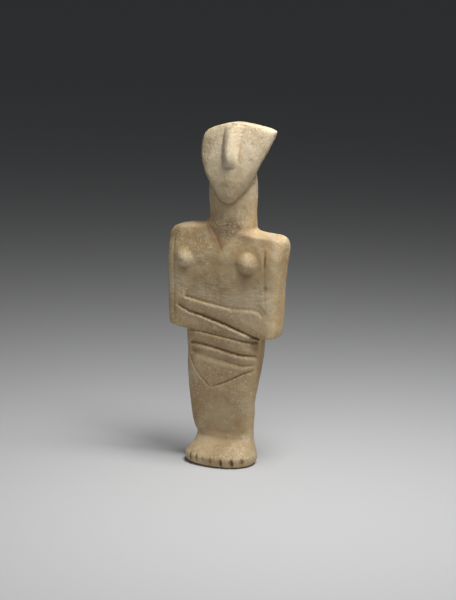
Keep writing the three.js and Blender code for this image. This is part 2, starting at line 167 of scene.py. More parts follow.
# The nose, a ridge from the crown to the middle of the face, steep at the figure's right and
# softer and a little wider at its left.
NOSE_MIDDLE = up_head([[0.459, 0.134], [0.737, 0.126], [1, 0.14]], HEAD_WIDTH)
NOSE_HALF_WIDTH = up_head([
    [0.459, 0.44], [0.522, 0.47], [0.6, 0.5], [0.757, 0.52], [0.894, 0.53], [1, 0.55],
], NOSE_WIDTH)
NOSE_SHARE = up_head([
    [0.455, 0], [0.51, 0.5], [0.575, 0.86], [0.65, 1], [0.776, 0.86], [0.894, 0.64], [1, 0.3],
], 1)
NOSE_RIGHT_POWER = 1.7
NOSE_LEFT_POWER = 1.35
NOSE_LEFT_SPREAD = 1.05


def spot(wide, tall, *rest):
    """A place on the front, from shares of the arms' span and of the height."""
    return (wide * ARM_SPAN, tall * HEIGHT, *rest)


# Breasts: place, half width, half height and how far they stand out. Each is drawn out above its
# middle and shorter below it.
BREASTS = [spot(-0.2955, 0.598, 7.6, 7.0, 2.9), spot(0.246, 0.598, 8.6, 7.2, 2.9)]
BREAST_ABOVE, BREAST_BELOW, BREAST_POWER = 1.3, 0.9, 1.8

# Cut lines across the front, each from the figure's right to its left: depth of the cut at its
# two ends, reach of the slope above it, and width of the step at its two ends, then its places.
FOLD_CUTS = [
    ("left forearm", 1.5, 0.75, 21, 0.4, 2.4, [
        spot(-0.312, 0.487), spot(-0.088, 0.4745), spot(0.125, 0.466), spot(0.282, 0.47),
        spot(0.353, 0.465), spot(0.384, 0.447)]),
    ("right forearm", 1.3, 3.4, 8, 0.4, 0.8, [
        spot(-0.371, 0.4605), spot(-0.262, 0.4425), spot(-0.152, 0.435), spot(0.046, 0.415),
        spot(0.242, 0.392), spot(0.329, 0.3765)]),
    ("first fold", 1.0, 1.4, 4.6, 1.5, 1.0, [
        spot(-0.288, 0.391), spot(-0.186, 0.39), spot(-0.056, 0.384), spot(0.136, 0.3755),
        spot(0.322, 0.367)]),
    ("second fold", 1.4, 1.8, 4.4, 2.4, 1.8, [
        spot(-0.276, 0.3525), spot(-0.144, 0.3515), spot(-0.028, 0.346), spot(0.194, 0.331),
        spot(0.325, 0.3285)]),
    ("third fold", 0.6, 1.1, 6, 5.0, 1.4, [
        spot(-0.259, 0.334), spot(-0.1, 0.32), spot(0.109, 0.306), spot(0.193, 0.301),
        spot(0.322, 0.303)]),
    ("right side of the lap", 0.7, 0.6, 2.6, 0.5, 0.6, [
        spot(-0.266, 0.3185), spot(-0.245, 0.2975), spot(-0.215, 0.28), spot(-0.165, 0.2565),
        spot(-0.1, 0.2335), spot(-0.067, 0.224)]),
    ("left side of the lap", 0.9, 1.2, 3.2, 0.8, 0.5, [
        spot(-0.069, 0.224), spot(0.045, 0.2425), spot(0.193, 0.272), spot(0.266, 0.284),
        spot(0.325, 0.29)]),
    ("ankle", 0.3, 0.3, 5, 4, 4, [
        spot(-0.2, 0.081), spot(-0.05, 0.078), spot(0.1, 0.076), spot(0.2, 0.079)]),
]
# A cut's line wavers where it is chipped: size of the chips and how far they stray.
CHIP_SIZE, CHIP_STRAY, CHIP_SEED = 2.4, 0.1, 5
# A cut fades out at its ends: where the fade starts and is full, how much it widens away from
# the line, and the distances between which it turns from along the line to straight across.
CUT_END_START, CUT_END_FULL, CUT_END_SPREAD = -0.5, 3, 0.5
CUT_END_TURN = (2, 4)
# Past the step of a cut stands a low lip: its place, its width and its height as a share of the cut.
LIP_PLACE, LIP_WIDTH, LIP_SHARE = 0.5, 0.8, 0.1
# Pale crumbs on the lip, and soil and painted shade in the cut, for each millimetre of its depth.
LIP_CRUMBS = 0.5
CUT_SOIL_AND_SHADE, CUT_SOIL_AND_SHADE_WIDTH = 0.17, 1.4

# The neckline, a soft hollow between two lines that meet on the chest.
NECKLINE_RIGHT = [
    spot(-0.205, 0.74), spot(-0.071, 0.686), spot(-0.014, 0.655), spot(0.034, 0.622),
]
NECKLINE_LEFT = [spot(0.034, 0.622), spot(0.079, 0.646), spot(0.16, 0.673), spot(0.3, 0.715)]
NECKLINE_CUT = 0.7
# How dark the neckline's soil is, with painted shade where the head's shadow falls into its hollow.
NECKLINE_SOIL_AND_SHADE = 0.7
NECKLINE_REACH = 5
# Distances from its lines over which it comes in, and heights over which it ends at the neck.
NECKLINE_LEFT_EDGE, NECKLINE_RIGHT_EDGE, NECKLINE_SOIL_AND_SHADE_EDGE = (-1, 4), (-1.2, 0.8), (-2.4, -0.6)
NECKLINE_CUT_TOP, NECKLINE_SOIL_AND_SHADE_TOP = (159, 147), (166, 154)
# Grooves between the upper arms and the chest: place across, foot and head as shares of the
# height, depth and how much soil they hold. The last one is the deep cut by the left armpit.
ARM_GROOVES = [
    (-0.39, 0.412, 0.668, 0.3, 0.1), (0.3895, 0.4535, 0.641, 0.16, 0.1),
    (0.389, 0.592, 0.634, 0.7, 0.5),
]
ARM_GROOVE_HALF_WIDTH = 0.8
# Hollows: place, reach and depth. They lie under the left elbow and beside the breasts.
HOLLOWS = [
    spot(0.31, 0.362, 6, 2.2), spot(0.22, 0.553, 9, 0.6), spot(-0.3, 0.553, 7, 0.4),
]
# The pits between the toes: across as a share of FOOT_WIDTH, height and depth.
TOE_PITS = [
    (-0.3, 4.7, 1.3), (-0.195, 5.2, 1.1), (-0.09, 4.6, 0.5), (0.028, 3.8, 0.6),
    (0.182, 3.4, 1.9), (0.318, 3.6, 2.0), (0.43, 4.2, 2.0),
]
TOE_PIT_HALF_WIDTH = 0.85
TOE_PIT_HALF_LENGTH = 1.9

# Darkening spots, part brown soil and part painted shade: place, reach and strength. The first
# lies under the left elbow and, with two more there, is painted shadow of the elbow over soil; those
# just under the breasts are painted shadow of the breasts; the broad one over the waist is a brown
# tint with painted shade; the last row, round the neckline and on the left shoulder, is painted
# shade with some soil.
SOIL_AND_SHADE_PATCHES = [
    spot(0.325, 0.366, 5.2, 1.0), spot(-0.15, 0.716, 5, 0.5), spot(0.27, 0.558, 5, 0.3),
    spot(0.0, 0.365, 26, 0.32), spot(-0.02, 0.5, 24, 0.12), spot(0.05, 0.78, 10, 0.12),
    spot(0.235, 0.562, 6.5, 0.3), spot(-0.3, 0.57, 5, 0.2), spot(0.35, 0.385, 7, 0.25),
    spot(0.37, 0.383, 4, 0.5), spot(0.0, 0.14, 26, 0.27), spot(0.05, 0.045, 14, 0.3),
    spot(0.38, 0.685, 10, 0.42), spot(0.07, 0.795, 6, 0.16),
    spot(-0.01, 0.684, 4.5, 0.6), spot(-0.07, 0.702, 4, 0.5), spot(0.22, 0.69, 7, 0.45),
]
# Rough, pitted patches: place, reach and strength, and the share of the reach that is full.
ROUGH_PATCHES = [
    spot(0.09, 0.7, 10, 1.0), spot(-0.03, 0.71, 11, 0.75), spot(-0.14, 0.93, 8, 0.5),
    spot(0.4, 0.537, 2.6, 0.7), spot(-0.4, 0.672, 7, 0.6), spot(0.05, 0.828, 3.5, 0.35),
    spot(0.2, 0.665, 9, 0.35), spot(-0.2, 0.33, 4, 0.5),
]
ROUGH_CORE = 0.35
# Pale, crumbly spots where the skin of the marble is knocked off: place, reach and strength.
PALE_PATCHES = [
    spot(-0.12, 0.92, 10, 0.5), spot(-0.29, 0.604, 4.5, 0.8), spot(0.26, 0.612, 4, 0.5),
    spot(0.112, 0.9, 3, 0.7), spot(0.09, 0.71, 7, 0.3), spot(0.3, 0.37, 3, 0.5),
]
# Fine level scratches across the lower chest, between two heights.
SCRATCHES = (0.475 * HEIGHT, 0.545 * HEIGHT)
SCRATCH_FADE = 4
# Ochre stains the block's edges up to a height, and the foot of the nose: widths in millimetres.
EDGE_STAIN_TOP = BODY_TOP - 50
EDGE_STAIN_WIDTH = 4
NOSE_STAIN, NOSE_STAIN_WIDTH, NOSE_STAIN_FOOT = 0.8, 2.2, 192
# It ends below the crown, comes in up the legs, and above the neck lies on the front alone.
STAIN_CROWN, STAIN_LEGS, STAIN_NECK = (212, 206), (12, 60), 170

# Heights in millimetres between which a treatment of the skin comes in and goes out: it starts
# at the first, is full from the second to the third, and ends at the fourth.
SOFT_SHOULDERS = (138, 146, 160, 170)
WORN_SHOULDERS = (140, 147, 156, 162)
SHOULDERS_FREE_OF_SHADE = (143, 148, 155, 160)
SHOULDERS_FREE_OF_STAIN = (146, 149, 155, 160)
CARVED_FRONT = (8, 14, 160, 168)
# Heights over which a change comes in: the body's own wear, the head's section and the front
# above the sole, and the distance inside the face over which the nose rises.
BODY_WEAR_TOP, HEAD_SECTION, SOLE_KEPT, NOSE_INSIDE = (170, 160), (180, 191), (0.5, 4), (0.2, 2.5)
# The blend where the shoulders meet the neck: its reach, how many reaches it spans, its steps.
BLEND_REACH, BLEND_SPAN, BLEND_STEPS = 0.9, 2.2, 41
# Rows: the share spread evenly, the share that follows an outline's turns up to a limit, for the
# body below the neck and the head above the brow, and bands with extra rows for the toes, the
# folds, the shoulders and the head.
EVEN_ROWS, TURNING_ROWS, ROW_SAMPLES = 0.35, 0.5, 6000
BODY_TURNS, HEAD_TURNS = 6, 12
TURNS_NECK, TURNS_BROW = 165, 195
ROW_BANDS = [(2, 8, 0.4), (46, 109, 0.55), (125, 160, 0.3), (165, 218, 0.4)]

# How far a place has to face forward to be set to the true front, carved, rough or scratched.
FRONT_SETTLED = (0.35, 0.7)
FRONT_CARVED = (0.3, 0.75)
FRONT_ROUGH = (0.1, 0.5)
FRONT_SCRATCHED = (0.8, 0.95)

# Wear: passes and strength of the rounding everywhere, on the body and at the shoulders.
CORNER_PASSES = 90
CORNER_WEAR, BODY_WEAR, SHOULDER_WEAR = 0.012, 0.015, 0.13
WEAR_ACROSS, WEAR_UP = 0.4, 0.3
ROUNDING_STEP, NORMAL_PASSES = 0.5, 3
# Hollows and ridges are where the skin differs from one rounded further. Dirt for each
# millimetre of toe pits and weathering pits, painted shade for each millimetre of hollows past
# a floor, and wear of the ridges.
HOLLOW_PASSES = 30
TOE_DIRT, PIT_DIRT, HOLLOW_SHADE, HOLLOW_FLOOR, HOLLOW_LIMIT = 0.9, 0.9, 1.1, 0.06, 0.6
RIDGE_WEAR, RIDGE_LIMIT = 2.5, 0.4
# The unevenness fades out this close to the sole and the crown.
END_KEPT = 1.5
# Unevenness of the skin: height, size in millimetres and seed of each layer, and the grain of
# the rough patches.
UNEVENNESS = [(0.14, 22, 1), (0.035, 7, 2), (0.016, 2.6, 3)]
ROUGH_HEIGHT, ROUGH_SIZE, ROUGH_SEED = 0.05, 1.9, 4
# Weathering pits: how many, their radii and depths, the rows they keep clear of at the sole and
# at the crown, the heights they leave free at the shoulders' ledge, and the cells each one spans.
PIT_COUNT, PIT_SEED = 800, 7
PIT_RADII = (0.35, 0.75)
PIT_DEPTHS = (0.06, 0.24)
PIT_FREE_FOOT_ROWS, PIT_FREE_CROWN_ROWS = 4, 14
PIT_FREE_LEDGE = (145, 157)
PIT_CELLS = 9


def keyed(stations):
    """A smooth curve through the stations that never overshoots them."""
    at, value = np.array(stations, float).T
    step = np.diff(at)
    rise = np.diff(value) / step
    slope = np.zeros(len(at))
    slope[0], slope[-1] = rise[0], rise[-1]
    for i in range(1, len(at) - 1):
        if rise[i - 1] * rise[i] > 0:
            near, far = 2 * step[i] + step[i - 1], step[i] + 2 * step[i - 1]
            slope[i] = (near + far) / (near / rise[i - 1] + far / rise[i])

    def curve(place):
        q = np.clip(place, at[0], at[-1])
        i = np.clip(np.searchsorted(at, q, side="right") - 1, 0, len(step) - 1)
        t = (q - at[i]) / step[i]
        start = value[i] * (1 + 2 * t) * (1 - t) ** 2 + slope[i] * step[i] * t * (1 - t) ** 2
        end = value[i + 1] * t * t * (3 - 2 * t) - slope[i + 1] * step[i] * t * t * (1 - t)
        return start + end

    return curve


body_left, body_right = keyed(BODY_LEFT), keyed(BODY_RIGHT)
body_front, body_back = keyed(BODY_FRONT), keyed(BODY_BACK)
body_square = keyed(BODY_SQUARE)
head_left, head_right = keyed(HEAD_LEFT), keyed(HEAD_RIGHT)
head_front, head_back = keyed(HEAD_FRONT), keyed(HEAD_BACK)
nose_middle, nose_half_width = keyed(NOSE_MIDDLE), keyed(NOSE_HALF_WIDTH)
nose_share = keyed(NOSE_SHARE)


def ease(low, high, value):
    """0 at low, 1 at high and beyond it, and smooth between. It falls where low is above high."""
    t = np.clip((value - low) / (high - low), 0, 1)
    return t * t * (3 - 2 * t)


def band(z, start, full, fade, end):
    """0 up to start, 1 from full to fade, 0 again from end on, and smooth between."""
    return ease(start, full, z) * ease(end, fade, z)


def line_distance(x, z, line):
    """Distance to a bent line, how far along it the nearest point is, and its length."""
    near = np.full(x.shape, 1e9)
    along = np.zeros(x.shape)
    run = 0
    for (ax, az), (bx, bz) in zip(line[:-1], line[1:]):
        length = math.hypot(bx - ax, bz - az)
        t = np.clip(((x - ax) * (bx - ax) + (z - az) * (bz - az)) / length ** 2, 0, 1)
        away = np.hypot(x - ax - t * (bx - ax), z - az - t * (bz - az))
        closer = away < near
        near = np.where(closer, away, near)
        along = np.where(closer, run + t * length, along)
        run += length
    return near, along, run


def above_line(x, z, line):
    """Whether a place lies above a cut line."""
    places = np.array(line)
    order = np.argsort(places[:, 0])
    return z > np.interp(x, places[order, 0], places[order, 1])


def strongest(patches, x, z):
    """The strongest of several soft round patches at each place."""
    held = np.zeros(x.shape)
    for middle, height, reach, strength in patches:
        away = np.hypot(x - middle, z - height)
        held = np.maximum(held, strength * np.exp(-(away / reach) ** 2))
    return held


def face_forward(x, z):
    """How far forward the face stands, a shallow roof about the nose."""
    off = np.hypot(x - FACE_MIDDLE, FACE_SOFTNESS) - FACE_SOFTNESS
    return head_front(z) - FACE_FALL * off


def face_inside(x, z):
    """Distance inside the face's outline, less than nothing outside it."""
    heights = np.linspace(CHIN, HEIGHT, 90)
    outline = list(zip(head_left(heights)[::-1], heights[::-1]))
    outline += list(zip(head_right(heights), heights))
    away, _, _ = line_distance(x, z, outline)
    inside = (z > CHIN) & (x > head_left(z)) & (x < head_right(z))
    return np.where(inside, away, -away)


def section_depths(x, left, right, square, front, back):
    """Front and back of a section with rounded corners, and whether x is inside it."""
    half = np.maximum((right - left) / 2, 1e-6)
    side = np.abs(x - (left + right) / 2) / half
    share = (1 - np.clip(side, 0, 1) ** square) ** (1 / square)
    middle, reach = (front + back) / 2, (front - back) / 2
    return middle + reach * share, middle - reach * share, side <= 1 + 1e-9


def soft_body(x, z):
    """Front and back of the body, blended up and down where the shoulders meet the neck."""
    reach = BLEND_REACH * band(z, *SOFT_SHOULDERS)
    front, back, total = 0, 0, 0
    for step in np.linspace(-BLEND_SPAN, BLEND_SPAN, BLEND_STEPS):
        at = z + step * reach
        share = math.exp(-step ** 2 / 2)
        out, inner, _ = section_depths(
            x, body_left(at), body_right(at), body_square(at), body_front(at), body_back(at))
        front = front + share * out
        back = back + share * inner
        total += share
    return front / total, back / total


def head_depths(x, z):
    """Front and back of the head with its edge dropped back, and what lies inside it."""
    left, right = head_left(z), head_right(z)
    plate_front = face_forward(x, z)
    rim = plate_front - RIM_THICKNESS
    half, middle = (right - left) / 2, (right + left) / 2
    bulge = 1 - np.clip(np.abs(x - middle) / half, 0, 1) ** 2
    plate_back = np.minimum(rim, rim + (head_back(z) - rim) * bulge)
    out, inner, in_head = section_depths(x, left, right, HEAD_SQUARE, plate_front, plate_back)
    inside = face_inside(x, z)
    jaw = ease(JAW_END, JAW_FULL, z)
    drop = RIM_DROP + JAW_DROP * jaw - CROWN_DROP * ease(CROWN_START, CROWN_FULL, z)
    drop = drop * np.clip(1 - inside / (RIM_REACH + JAW_REACH * jaw), 0, 1) ** 2
    out = out - drop * np.clip((out - inner) / THIN_RIM, 0, 1)
    return out, inner, in_head & (z > CHIN), inside


def front_and_back(x, z):
    """Front and back of the whole block, and the distance inside the face's outline."""
    far = 1e3
    body_out, body_in = soft_body(x, z)
    in_body = (z < BODY_TOP) & (x >= body_left(z) - 1e-9) & (x <= body_right(z) + 1e-9)
    head_out, head_in, in_head, inside = head_depths(x, z)
    front = np.maximum(np.where(in_body, body_out, -far), np.where(in_head, head_out, -far))
    back = np.minimum(np.where(in_body, body_in, far), np.where(in_head, head_in, far))
    return np.where(front < -far / 2, 0, front), np.where(back > far / 2, 0, back), inside


def row_heights():
    """Heights of the rows, closer where the outline or the carving turns."""
    z = np.linspace(0, HEIGHT, ROW_SAMPLES)
    density = np.full(z.shape, EVEN_ROWS)
    for curve in (body_left, body_right, body_front):
        turn = np.abs(np.gradient(np.where(z < TURNS_NECK, curve(z), 0), z))
        density += TURNING_ROWS * turn.clip(0, BODY_TURNS)
    for curve in (head_left, head_right):
        turn = np.abs(np.gradient(np.where(z > TURNS_BROW, curve(z), curve(TURNS_BROW)), z))
        density += TURNING_ROWS * turn.clip(0, HEAD_TURNS)
    for low, high, extra in ROW_BANDS:
        density += extra * band(z, low - 2, low, high, high + 2)
    total = np.concatenate([[0], np.cumsum((density[1:] + density[:-1]) / 2 * np.diff(z))])
    return np.interp(np.linspace(0, total[-1], SKIN_ROWS), total, z)


def column_angles():
    """Angles round a section, even along its front, its back and its two sides."""
    front = np.linspace(-1, 1, FRONT_COLUMNS, endpoint=False)
    side = np.linspace(-1, 1, SIDE_COLUMNS, endpoint=False)
    back = np.linspace(-1, 1, BACK_COLUMNS, endpoint=False)
    angles = [np.arctan2(1.0, -front)]
    angles.append(np.arctan2(-side, -1.0) % (2 * np.pi))
    angles.append(np.arctan2(-1.0, back) % (2 * np.pi))
    angles.append(np.arctan2(side, 1.0) % (2 * np.pi))
    return np.sort(np.concatenate(angles))


def waves(points, size, seed, count=36):
    """Smooth random unevenness with features of about one size in millimetres."""
    random = np.random.default_rng(seed)
    total = np.zeros(points.shape[:-1])
    for _ in range(count):
        way = random.normal(size=3)
        way *= 2 * np.pi / size * random.uniform(0.6, 1.5) / np.linalg.norm(way)
        total += np.cos(points @ way + random.uniform(0, 2 * np.pi))
    return total / math.sqrt(count / 2)


def cut_relief(x, z):
    """The cut lines: how far the skin is lifted, their soil and painted shade, and their pale lips.
    """
    lift, soil_and_shade, lips = np.zeros(x.shape), np.zeros(x.shape), np.zeros(x.shape)
    chipped = CHIP_STRAY * waves(np.stack([x, 0 * x, z], -1), CHIP_SIZE, CHIP_SEED)
    for _, cut_start, cut_end, reach, step_start, step_end, line in FOLD_CUTS:
        away, along, run = line_distance(x, z, line)
        away = np.abs(away + chipped)
        cut = cut_start + (cut_end - cut_start) * along / run
        step = step_start + (step_end - step_start) * along / run
        above = above_line(x, z, line)
        near = ease(CUT_END_START, CUT_END_FULL, along)
        near = near * ease(CUT_END_START, CUT_END_FULL, run - along)
        full = CUT_END_FULL + CUT_END_SPREAD * away
        ends = ease(CUT_END_START, full, x - line[0][0])
        ends = ends * ease(CUT_END_START, full, line[-1][0] - x)
        ends = near + (ends - near) * ease(*CUT_END_TURN, away)
        slope = np.clip(1 - away / reach, 0, 1) ** 2
        wall = ease(0, 1, 1 - away / step)
        lift -= cut * ends * np.where(above, slope, wall)
        lip = ends * np.where(above, 0, np.exp(-((away - step - LIP_PLACE) / LIP_WIDTH) ** 2))
        lift += LIP_SHARE * cut * lip
        lips = np.maximum(lips, LIP_CRUMBS * cut * lip)
        # Soil and painted shade in the cut, on the side above the line.
        filled = np.exp(-(away / CUT_SOIL_AND_SHADE_WIDTH) ** 2) * above
        soil_and_shade = np.maximum(soil_and_shade, CUT_SOIL_AND_SHADE * ends * cut * filled)
    return lift, soil_and_shade, lips


def neckline_relief(x, z):
    """The hollow of the neckline: how far the skin is lifted, and the soil and painted shade in it.
    """
    signed = []
    for line in (NECKLINE_RIGHT, NECKLINE_LEFT):
        away, _, _ = line_distance(x, z, line)
        signed.append(np.where(above_line(x, z, line), away, -away))
    right_away, left_away = signed
    between = np.exp(-np.clip(right_away, 0, None) / NECKLINE_REACH)
    between = ease(*NECKLINE_LEFT_EDGE, left_away) * between
    cut = between * ease(*NECKLINE_RIGHT_EDGE, right_away) * ease(*NECKLINE_CUT_TOP, z)
    soil_and_shade = between * ease(*NECKLINE_SOIL_AND_SHADE_EDGE, right_away) * ease(*NECKLINE_SOIL_AND_SHADE_TOP, z)
    return -NECKLINE_CUT * cut, NECKLINE_SOIL_AND_SHADE * soil_and_shade


def front_relief(x, z):
    """All the carving of the front: its lift, the soil and painted shade in it and its pale spots.
    """
    lift, soil_and_shade, lips = cut_relief(x, z)
    neck_lift, neck_soil_and_shade = neckline_relief(x, z)
    lift += neck_lift
    # Soil, with painted shade, from the cuts, the neckline and the darkening spots.
    soil_and_shade = np.maximum(np.maximum(soil_and_shade, neck_soil_and_shade), strongest(SOIL_AND_SHADE_PATCHES, x, z))
    lips = np.maximum(lips, strongest(PALE_PATCHES, x, z))
    for wide, foot, head, cut, held in ARM_GROOVES:
        away = np.abs(x - wide * ARM_SPAN)
        low, high = foot * HEIGHT, head * HEIGHT
        # A groove comes in and goes out over 6 mm.
        dip = band(z, low - 2, low + 4, high - 3, high + 3)
        dip = dip * np.exp(-(away / ARM_GROOVE_HALF_WIDTH) ** 2)
        lift -= cut * dip
        soil_and_shade = np.maximum(soil_and_shade, held * dip)
    for middle, height, reach, depth in HOLLOWS:
        lift -= depth * np.exp(-((x - middle) ** 2 + (z - height) ** 2) / reach ** 2)
    for middle, height, wide, tall, stand in BREASTS:
        tall = np.where(z > height, BREAST_ABOVE * tall, BREAST_BELOW * tall)
        t = np.hypot((x - middle) / wide, (z - height) / tall)
        lift += stand * np.clip(1 - t ** 2, 0, 1) ** BREAST_POWER
    return lift, soil_and_shade, lips


def toe_relief(x, z):
    """The pits between the toes."""
    lift = np.zeros(x.shape)
    for wide, height, cut in TOE_PITS:
        off = (x - wide * FOOT_WIDTH) / TOE_PIT_HALF_WIDTH
        t = np.hypot(off, (z - height) / TOE_PIT_HALF_LENGTH)
        lift -= cut * np.exp(-t ** 2)
    return lift


def nose_lift(x, z):
    """The nose, a rounded roof with a crisp right foot and a soft left one."""
    t = (x - nose_middle(z)) / nose_half_width(z)
    crisp = np.clip(1 - np.abs(t) ** NOSE_RIGHT_POWER, 0, 1)
    soft = np.clip(1 - np.abs(t / NOSE_LEFT_SPREAD) ** NOSE_LEFT_POWER, 0, 1)
    return NOSE_HEIGHT * nose_share(z) * np.where(t < 0, crisp, soft)


def edge_stain(x, z, left, right, carved):
    """Where ochre stains the edges of the block and the left foot of the nose."""
    beside = np.minimum(x - left, right - x)
    stain = np.where(z < EDGE_STAIN_TOP, 1 - np.clip(beside / EDGE_STAIN_WIDTH, 0, 1), 0)
    nose_foot = np.abs(x - nose_middle(z) - NOSE_LEFT_SPREAD * nose_half_width(z))
    by_nose = NOSE_STAIN * np.exp(-(nose_foot / NOSE_STAIN_WIDTH) ** 2) * ease(*STAIN_CROWN, z)
    stain = np.maximum(stain, np.where(z > NOSE_STAIN_FOOT, by_nose, 0))
    stain *= 1 - band(z, *SHOULDERS_FREE_OF_STAIN)
    return stain * ease(*STAIN_LEGS, z) * np.where(z > STAIN_NECK, carved, 1)


def corner_wear(z):
    """How much the block's corners are worn round, most at the shoulders."""
    body = BODY_WEAR * ease(*BODY_WEAR_TOP, z)
    return CORNER_WEAR + body + SHOULDER_WEAR * band(z, *WORN_SHOULDERS)


def rounded(points, share, passes):
    """A skin smoothed by moving each point towards its neighbours, except at sole and crown."""
    free = band(points[..., 2:3], 0.5, 3, HEIGHT - 4, HEIGHT - 1)
    share = share * ROUNDING_STEP * free
    for _ in range(passes):
        beside = np.roll(points, 1, 1) + np.roll(points, -1, 1)
        middle = (beside[1:-1] + points[2:] + points[:-2]) / 4
        points[1:-1] += share[1:-1] * (middle - points[1:-1])
    return points


def wear(points):
    """A light smoothing along the rows and columns, as on a worn surface."""
    beside = (np.roll(points, 1, 1) + np.roll(points, -1, 1)) / 2
    points[1:-1] = (1 - WEAR_ACROSS) * points[1:-1] + WEAR_ACROSS * beside[1:-1]
    above = (points[2:] + points[:-2]) / 2
    points[1:-1, :, :2] = (1 - WEAR_UP) * points[1:-1, :, :2] + WEAR_UP * above[..., :2]
    return points


def carved_skin():
    """The skin as a grid of rows and columns in millimetres, with what colours it."""
    z, angle = np.broadcast_arrays(row_heights()[:, None], column_angles()[None, :])
    head_on, body_on = z > CHIN, z < BODY_TOP
    far = 1e3
    left = np.minimum(np.where(body_on, body_left(z), far), np.where(head_on, head_left(z), far))
    right = np.where(body_on, body_right(z), -far)
    right = np.maximum(right, np.where(head_on, head_right(z), -far))
    square = body_square(z) + (HEAD_SQUARE - body_square(z)) * ease(*HEAD_SECTION, z)
    c, s = np.cos(angle), np.sin(angle)
    size = (np.abs(c) ** square + np.abs(s) ** square) ** (-1 / square)
    x = (left + right) / 2 + (right - left) / 2 * size * c
    facing = size * s

    front, back, _ = front_and_back(x, z)
    forward = np.where(s > 0, front, back)
    forward = np.where(np.abs(s) < 1e-9, (front + back) / 2, forward)
    points = np.stack([x, -forward, z], -1)
    points = wear(rounded(points, corner_wear(z)[..., None], CORNER_PASSES))

    # Rounding moves points along the front, so they are set back on it before they are carved.
    x, z = points[..., 0], points[..., 2]
    front, _, inside = front_and_back(x, z)
    settled = ease(*FRONT_SETTLED, facing) * ease(*SOLE_KEPT, z)
    points[..., 1] -= settled * (front + points[..., 1])
    carved = ease(*FRONT_CARVED, facing)
    lift, soil_and_shade, lips = front_relief(x, z)
    toes = toe_relief(x, z) * carved
    nose = nose_lift(x, z) * carved * ease(*NOSE_INSIDE, inside)
    points[..., 1] -= lift * carved * band(z, *CARVED_FRONT) + toes + nose
    return points, soil_and_shade * carved, -toes, edge_stain(x, z, left, right, carved), lips * carved


def outward(points):
    """Unit normals of the skin's grid, pointing out of the marble."""
    up = np.gradient(points, axis=0)
    round_ = np.roll(points, -1, 1) - np.roll(points, 1, 1)
    normal = np.cross(round_, up)
    for _ in range(NORMAL_PASSES):
        beside = np.roll(normal, 1, 1) + np.roll(normal, -1, 1)
        normal[1:-1] = (2 * normal[1:-1] + beside[1:-1] + normal[2:] + normal[:-2]) / 6
    normal /= np.maximum(np.linalg.norm(normal, axis=2, keepdims=True), 1e-9)
    centre = points.mean(1, keepdims=True)
    return normal if (normal * (points - centre)).sum() > 0 else -normal


def pits(points):
    """Small weathering pits scattered over the skin: their depth at each place."""
    random = np.random.default_rng(PIT_SEED)
    rows, columns = points.shape[:2]
    depth = np.zeros((rows, columns))
    for _ in range(PIT_COUNT):
        r = random.integers(PIT_FREE_FOOT_ROWS, rows - PIT_FREE_CROWN_ROWS)
        c = random.integers(0, columns)
        radius = random.uniform(*PIT_RADII)
        strength = random.uniform(*PIT_DEPTHS)
        if PIT_FREE_LEDGE[0] < points[r, c, 2] < PIT_FREE_LEDGE[1]:
            continue
        r0, r1 = max(0, r - PIT_CELLS), min(rows, r + PIT_CELLS + 1)
        around = np.arange(c - PIT_CELLS, c + PIT_CELLS + 1) % columns
        away = np.linalg.norm(points[r0:r1][:, around] - points[r, c], axis=2)
        block = depth[r0:r1][:, around]
        depth[r0:r1, around] = np.maximum(block, strength * np.exp(-(away / radius) ** 2))
    return depth


def rough_patches(x, z, forward):
    """How rough the front is at each place."""
    rough = np.zeros(x.shape)
    for middle, height, reach, strength in ROUGH_PATCHES:
        away = np.hypot(x - middle, z - height)
        rough = np.maximum(rough, strength * ease(reach, reach * ROUGH_CORE, away))
    return rough * ease(*FRONT_ROUGH, forward)


def closed_mesh(name, points):
    """A smooth mesh over a grid of rows and columns, closed by a flat face at each end."""
    rows, columns = points.shape[:2]
    index = np.arange(rows * columns).reshape(rows, columns)
    after = np.roll(index, -1, 1)
    faces = np.stack([index[:-1], after[:-1], after[1:], index[1:]], -1).reshape(-1, 4).tolist()
    faces.append(index[0][::-1].tolist())
    faces.append(index[-1].tolist())
    mesh = bpy.data.meshes.new(name)
    mesh.from_pydata([tuple(corner) for corner in points.reshape(-1, 3) * MM], [], faces)
    mesh.update()
    if mesh.polygons[len(faces) - 1].normal.z < 0:
        mesh.flip_normals()
    mesh.polygons.foreach_set("use_smooth", [True] * (len(faces) - 2) + [False, False])
    return mesh


